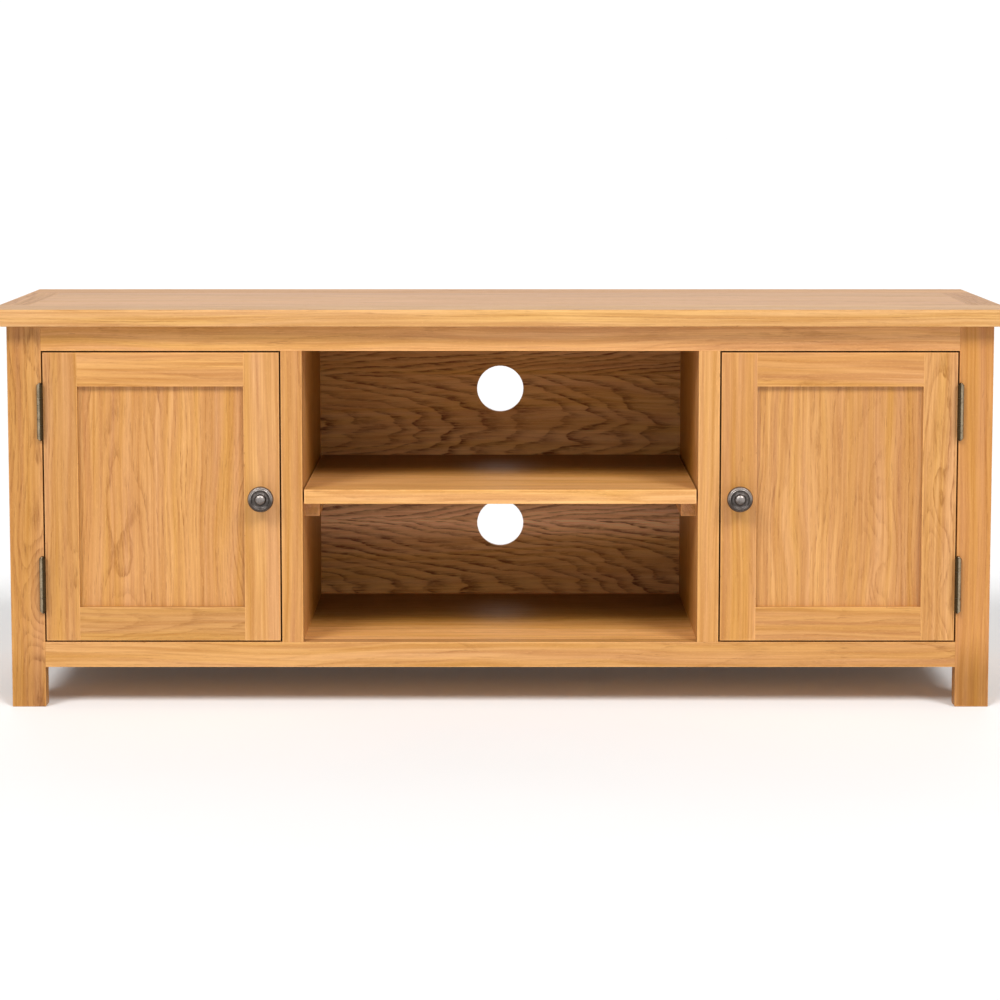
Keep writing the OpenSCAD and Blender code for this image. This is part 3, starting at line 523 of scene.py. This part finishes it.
def knob_wear_and_light(t, coord):
    """The knobs are rubbed bright on the rim and the boss and keep dark patina in the hollows; their upper side is
    painted lighter and their underside darker, as painted highlight and shade from the light above.
    """
    x, y, z = t.separate(coord)
    dx = t.sub(t.math("ABSOLUTE", x), KNOB_X)
    dz = t.sub(z, KNOB_Z)
    r = t.math("SQRT", t.add(t.mul(dx, dx), t.mul(dz, dz)))
    # painted highlight and shade: brighter above the knob's centre, darker below it
    high = t.span(dz, -0.006, 0.010, 0.0, 1.0, True)
    ring = t.mul(t.span(r, 0.0108, 0.0122, 0.0, 1.0, True), t.span(r, 0.0140, 0.0150, 1.0, 0.0, True))
    boss = t.mul(t.span(r, 0.0054, 0.0066, 1.0, 0.0, True), t.span(dz, -0.004, 0.004, 0.35, 1.1, True))
    return t.math("MINIMUM", t.add(t.mul(ring, t.mul(high, 1.2)), t.add(t.mul(boss, 0.55), t.add(t.mul(high, 0.22), 0.08))), 1.0)


def hinge_painted_highlight(t, coord):
    """The barrels carry a painted highlight as a bright strip along their outer side, broken by noise, and painted
    shade on the half towards the door.
    """
    x = t.math("ABSOLUTE", t.separate(coord)[0])
    z = t.separate(coord)[2]
    # painted highlight: a bright strip on the barrel's outer side, fading to painted shade towards the door
    highlight_strip = t.mul(t.span(x, HINGE_X - 0.0009, HINGE_X + 0.0004, 0.0, 1.0, True), t.span(x, HINGE_X + 0.0022, HINGE_X + 0.0034, 1.0, 0.15, True))
    return t.mul(highlight_strip, t.span(t.noise(coord, 130.0, 2.0, 0.5), 0.35, 0.65, 0.6, 1.0))


hlo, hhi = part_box("hinge_pins")
HINGE_X = hhi.x - 0.0026


klo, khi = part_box("right_door_knob")
KNOB_X, KNOB_Z = abs(klo.x + khi.x) / 2, (klo.z + khi.z) / 2
pewter = metal("aged_pewter", srgb(150, 142, 137), srgb(84, 77, 73), srgb(208, 201, 195), rough=0.36, grime=0.35, scale=1500.0, worn=knob_wear_and_light)
bronze = metal("aged_bronze", srgb(150, 132, 104), srgb(70, 57, 38), srgb(214, 200, 176), rough=0.30, grime=0.35, scale=1500.0, worn=hinge_painted_highlight)
dark_steel = brushed("dark_screw_steel", srgb(120, 112, 100))
zinc = brushed("zinc_steel", srgb(188, 188, 184))
catch_plastic = plastic("catch_plastic", srgb(96, 62, 40))
magnet_steel = brushed("catch_steel", srgb(176, 176, 172), 0.4)

dress("hinge_frame_leaves", bronze, 0.2)
dress("hinge_pins", bronze, 0.15)
dress("left_door_hinge_leaves", bronze, 0.2)
dress("right_door_hinge_leaves", bronze, 0.2)
dress("carcass_hardware_screws", dark_steel, 0)
dress("left_door_screws", dark_steel, 0)
dress("right_door_screws", dark_steel, 0)
dress("assembly_screws", zinc, 0)
dress("left_door_knob_bolt", zinc, 0.15)
dress("right_door_knob_bolt", zinc, 0.15)
dress("left_door_strike_plate", magnet_steel, 0.2)
dress("right_door_strike_plate", magnet_steel, 0.2)
dress("catch_magnets", magnet_steel, 0.2)
dress("catch_housings", catch_plastic, 0.6, 3)


def catmull(points, steps):
    """A smooth curve through the points."""
    out = []
    n = len(points)
    for i in range(n - 1):
        p0, p1, p2, p3 = points[max(i - 1, 0)], points[i], points[i + 1], points[min(i + 2, n - 1)]
        for k in range(steps):
            s = k / steps
            out.append(tuple(
                0.5 * (2 * b + (c - a) * s + (2 * a - 5 * b + 4 * c - d) * s * s + (3 * b - a - 3 * c + d) * s ** 3)
                for a, b, c, d in zip(p0, p1, p2, p3)))
    out.append(tuple(points[-1]))
    return out


def turned(name, node, body, segments=96):
    """A cast and turned knob in place of the CAD one: [distance from the axis, distance from the door] over its radius and height."""
    lo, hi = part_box(node)
    r = (hi.x - lo.x) / 2
    p = hi.y - lo.y
    cx, cz, y0 = (lo.x + hi.x) / 2, (lo.z + hi.z) / 2, hi.y
    runs = [
        # foot, neck and the bell's back
        [(0.60, 0.0), (0.625, 0.012), (0.625, 0.045), (0.58, 0.075), (0.47, 0.13), (0.41, 0.21), (0.395, 0.30), (0.43, 0.39), (0.56, 0.475),
         (0.76, 0.545), (0.92, 0.60), (0.985, 0.645), (1.0, 0.685), (0.992, 0.725)],
        # bevel of the rim, bright along its upper side from a painted highlight in the knob material
        [(0.985, 0.735), (0.955, 0.775), (0.905, 0.812), (0.875, 0.823), (0.852, 0.818)],
        # fine step, then the raised ring and the dished plate
        [(0.846, 0.812), (0.826, 0.812), (0.822, 0.826), (0.80, 0.852), (0.765, 0.862), (0.725, 0.850), (0.66, 0.815), (0.57, 0.79), (0.49, 0.785)],
        # centre boss
        [(0.445, 0.79), (0.43, 0.83), (0.40, 0.885), (0.35, 0.935), (0.27, 0.968), (0.17, 0.988), (0.08, 0.997), (0.0, 1.0)],
    ]
    profile = []
    for run in runs:
        profile += catmull(run, 4)
    bm = bmesh.new()
    rings = []
    for a, h in profile[:-1]:
        rings.append([bm.verts.new((cx + r * a * math.cos(2 * math.pi * k / segments), y0 - p * h, cz + r * a * math.sin(2 * math.pi * k / segments)))
                      for k in range(segments)])
    for a, b in zip(rings, rings[1:]):
        for k in range(segments):
            bm.faces.new((a[k], a[(k + 1) % segments], b[(k + 1) % segments], b[k]))
    tip = bm.verts.new((cx, y0 - p * profile[-1][1], cz))
    for k in range(segments):
        bm.faces.new((rings[-1][k], rings[-1][(k + 1) % segments], tip))
    bm.faces.new(list(reversed(rings[0])))
    bmesh.ops.recalc_face_normals(bm, faces=bm.faces)
    mesh = bpy.data.meshes.new(name)
    bm.to_mesh(mesh)
    bm.free()
    for f in mesh.polygons:
        f.use_smooth = True
    o = bpy.data.objects.new(name, mesh)
    bpy.context.scene.collection.objects.link(o)
    o.data.materials.append(pewter)
    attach(o, body)
    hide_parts(node)
    return o


for side in ("left", "right"):
    turned(side + "_knob", side + "_door_knob", side + "_door")

# ------------------------------------------------------------------ floor, light, camera

lo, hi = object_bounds()


def area(name, place, aim, size, power, color=(1, 1, 1), size_y=None):
    d = bpy.data.lights.new(name, "AREA")
    d.energy = power
    d.color = color
    d.shape = "RECTANGLE"
    d.size = size
    d.size_y = size_y or size
    o = bpy.data.objects.new(name, d)
    o.location = place
    o.rotation_mode = "QUATERNION"
    o.rotation_quaternion = (Vector(aim) - Vector(place)).to_track_quat("-Z", "Y")
    bpy.context.scene.collection.objects.link(o)
    return o


floor_mesh = bpy.data.meshes.new("studio_floor")
E = 60.0
floor_mesh.from_pydata([(-E, -E, 0), (E, -E, 0), (E, E, 0), (-E, E, 0)], [], [(0, 1, 2, 3)])
floor = bpy.data.objects.new("studio_floor", floor_mesh)
bpy.context.scene.collection.objects.link(floor)
fm, ft, fb = new_material("pale_floor")
fx = ft.node("ShaderNodeTexCoord").outputs["Object"]
ft.link(ft.mix(ft.noise(fx, 3.0, 3.0, 0.5), (0.87, 0.87, 0.87), (0.90, 0.90, 0.90)), fb.inputs["Base Color"])
fb.inputs["Roughness"].default_value = 0.9
fb.inputs["Specular IOR Level"].default_value = 0.1
floor.data.materials.append(fm)

# a white room: bright low down, dimmer overhead, so that the soft keys model the piece
world = bpy.data.worlds.new("studio")
world.use_nodes = True
wt = Tree(world.node_tree)
bg = world.node_tree.nodes["Background"]
sky = wt.separate(wt.node("ShaderNodeTexCoord").outputs["Generated"])
wt.link(wt.span(sky[2], 0.10, 0.36, 1.04, 0.30, True), bg.inputs["Strength"])
bg.inputs["Color"].default_value = (1.0, 1.0, 1.0, 1.0)
bpy.context.scene.world = world


def key(name, azimuth, elevation, strength, spread, color=(1, 1, 1)):
    """A large soft light far off, at the azimuth and elevation it's seen at from the piece."""
    d = bpy.data.lights.new(name, "SUN")
    d.energy = strength
    d.angle = math.radians(spread)
    d.color = color
    o = bpy.data.objects.new(name, d)
    a, e = math.radians(azimuth), math.radians(elevation)
    way = Vector((math.sin(a) * math.cos(e), -math.cos(a) * math.cos(e), math.sin(e)))
    o.rotation_mode = "QUATERNION"
    o.rotation_quaternion = (-way).to_track_quat("-Z", "Y")
    o.location = way * 5
    bpy.context.scene.collection.objects.link(o)
    return o


key("key_left", -34, 42, 1.8, 22)
key("key_right", 34, 42, 1.8, 22)
key("fill_back", 180, 42, 0.45, 40)

cam_data = bpy.data.cameras.new("camera")
cam = bpy.data.objects.new("camera", cam_data)
bpy.context.scene.collection.objects.link(cam)
bpy.context.scene.camera = cam
cam_data.sensor_width = 36.0
cam_data.lens = 2618.17 / 1000 * 36.0
cam_data.shift_y = -0.15
cam_data.clip_start, cam_data.clip_end = 0.05, 200.0
cam.location = (-0.00033, -0.1525 - 3.06174, 0.70834)
cam.rotation_euler = (math.radians(90 - 5.267), 0, 0)

scene = bpy.context.scene
scene.view_settings.view_transform = "Standard"
scene.view_settings.look = "None"
scene.view_settings.exposure = 0.0
scene.view_settings.gamma = 1.0
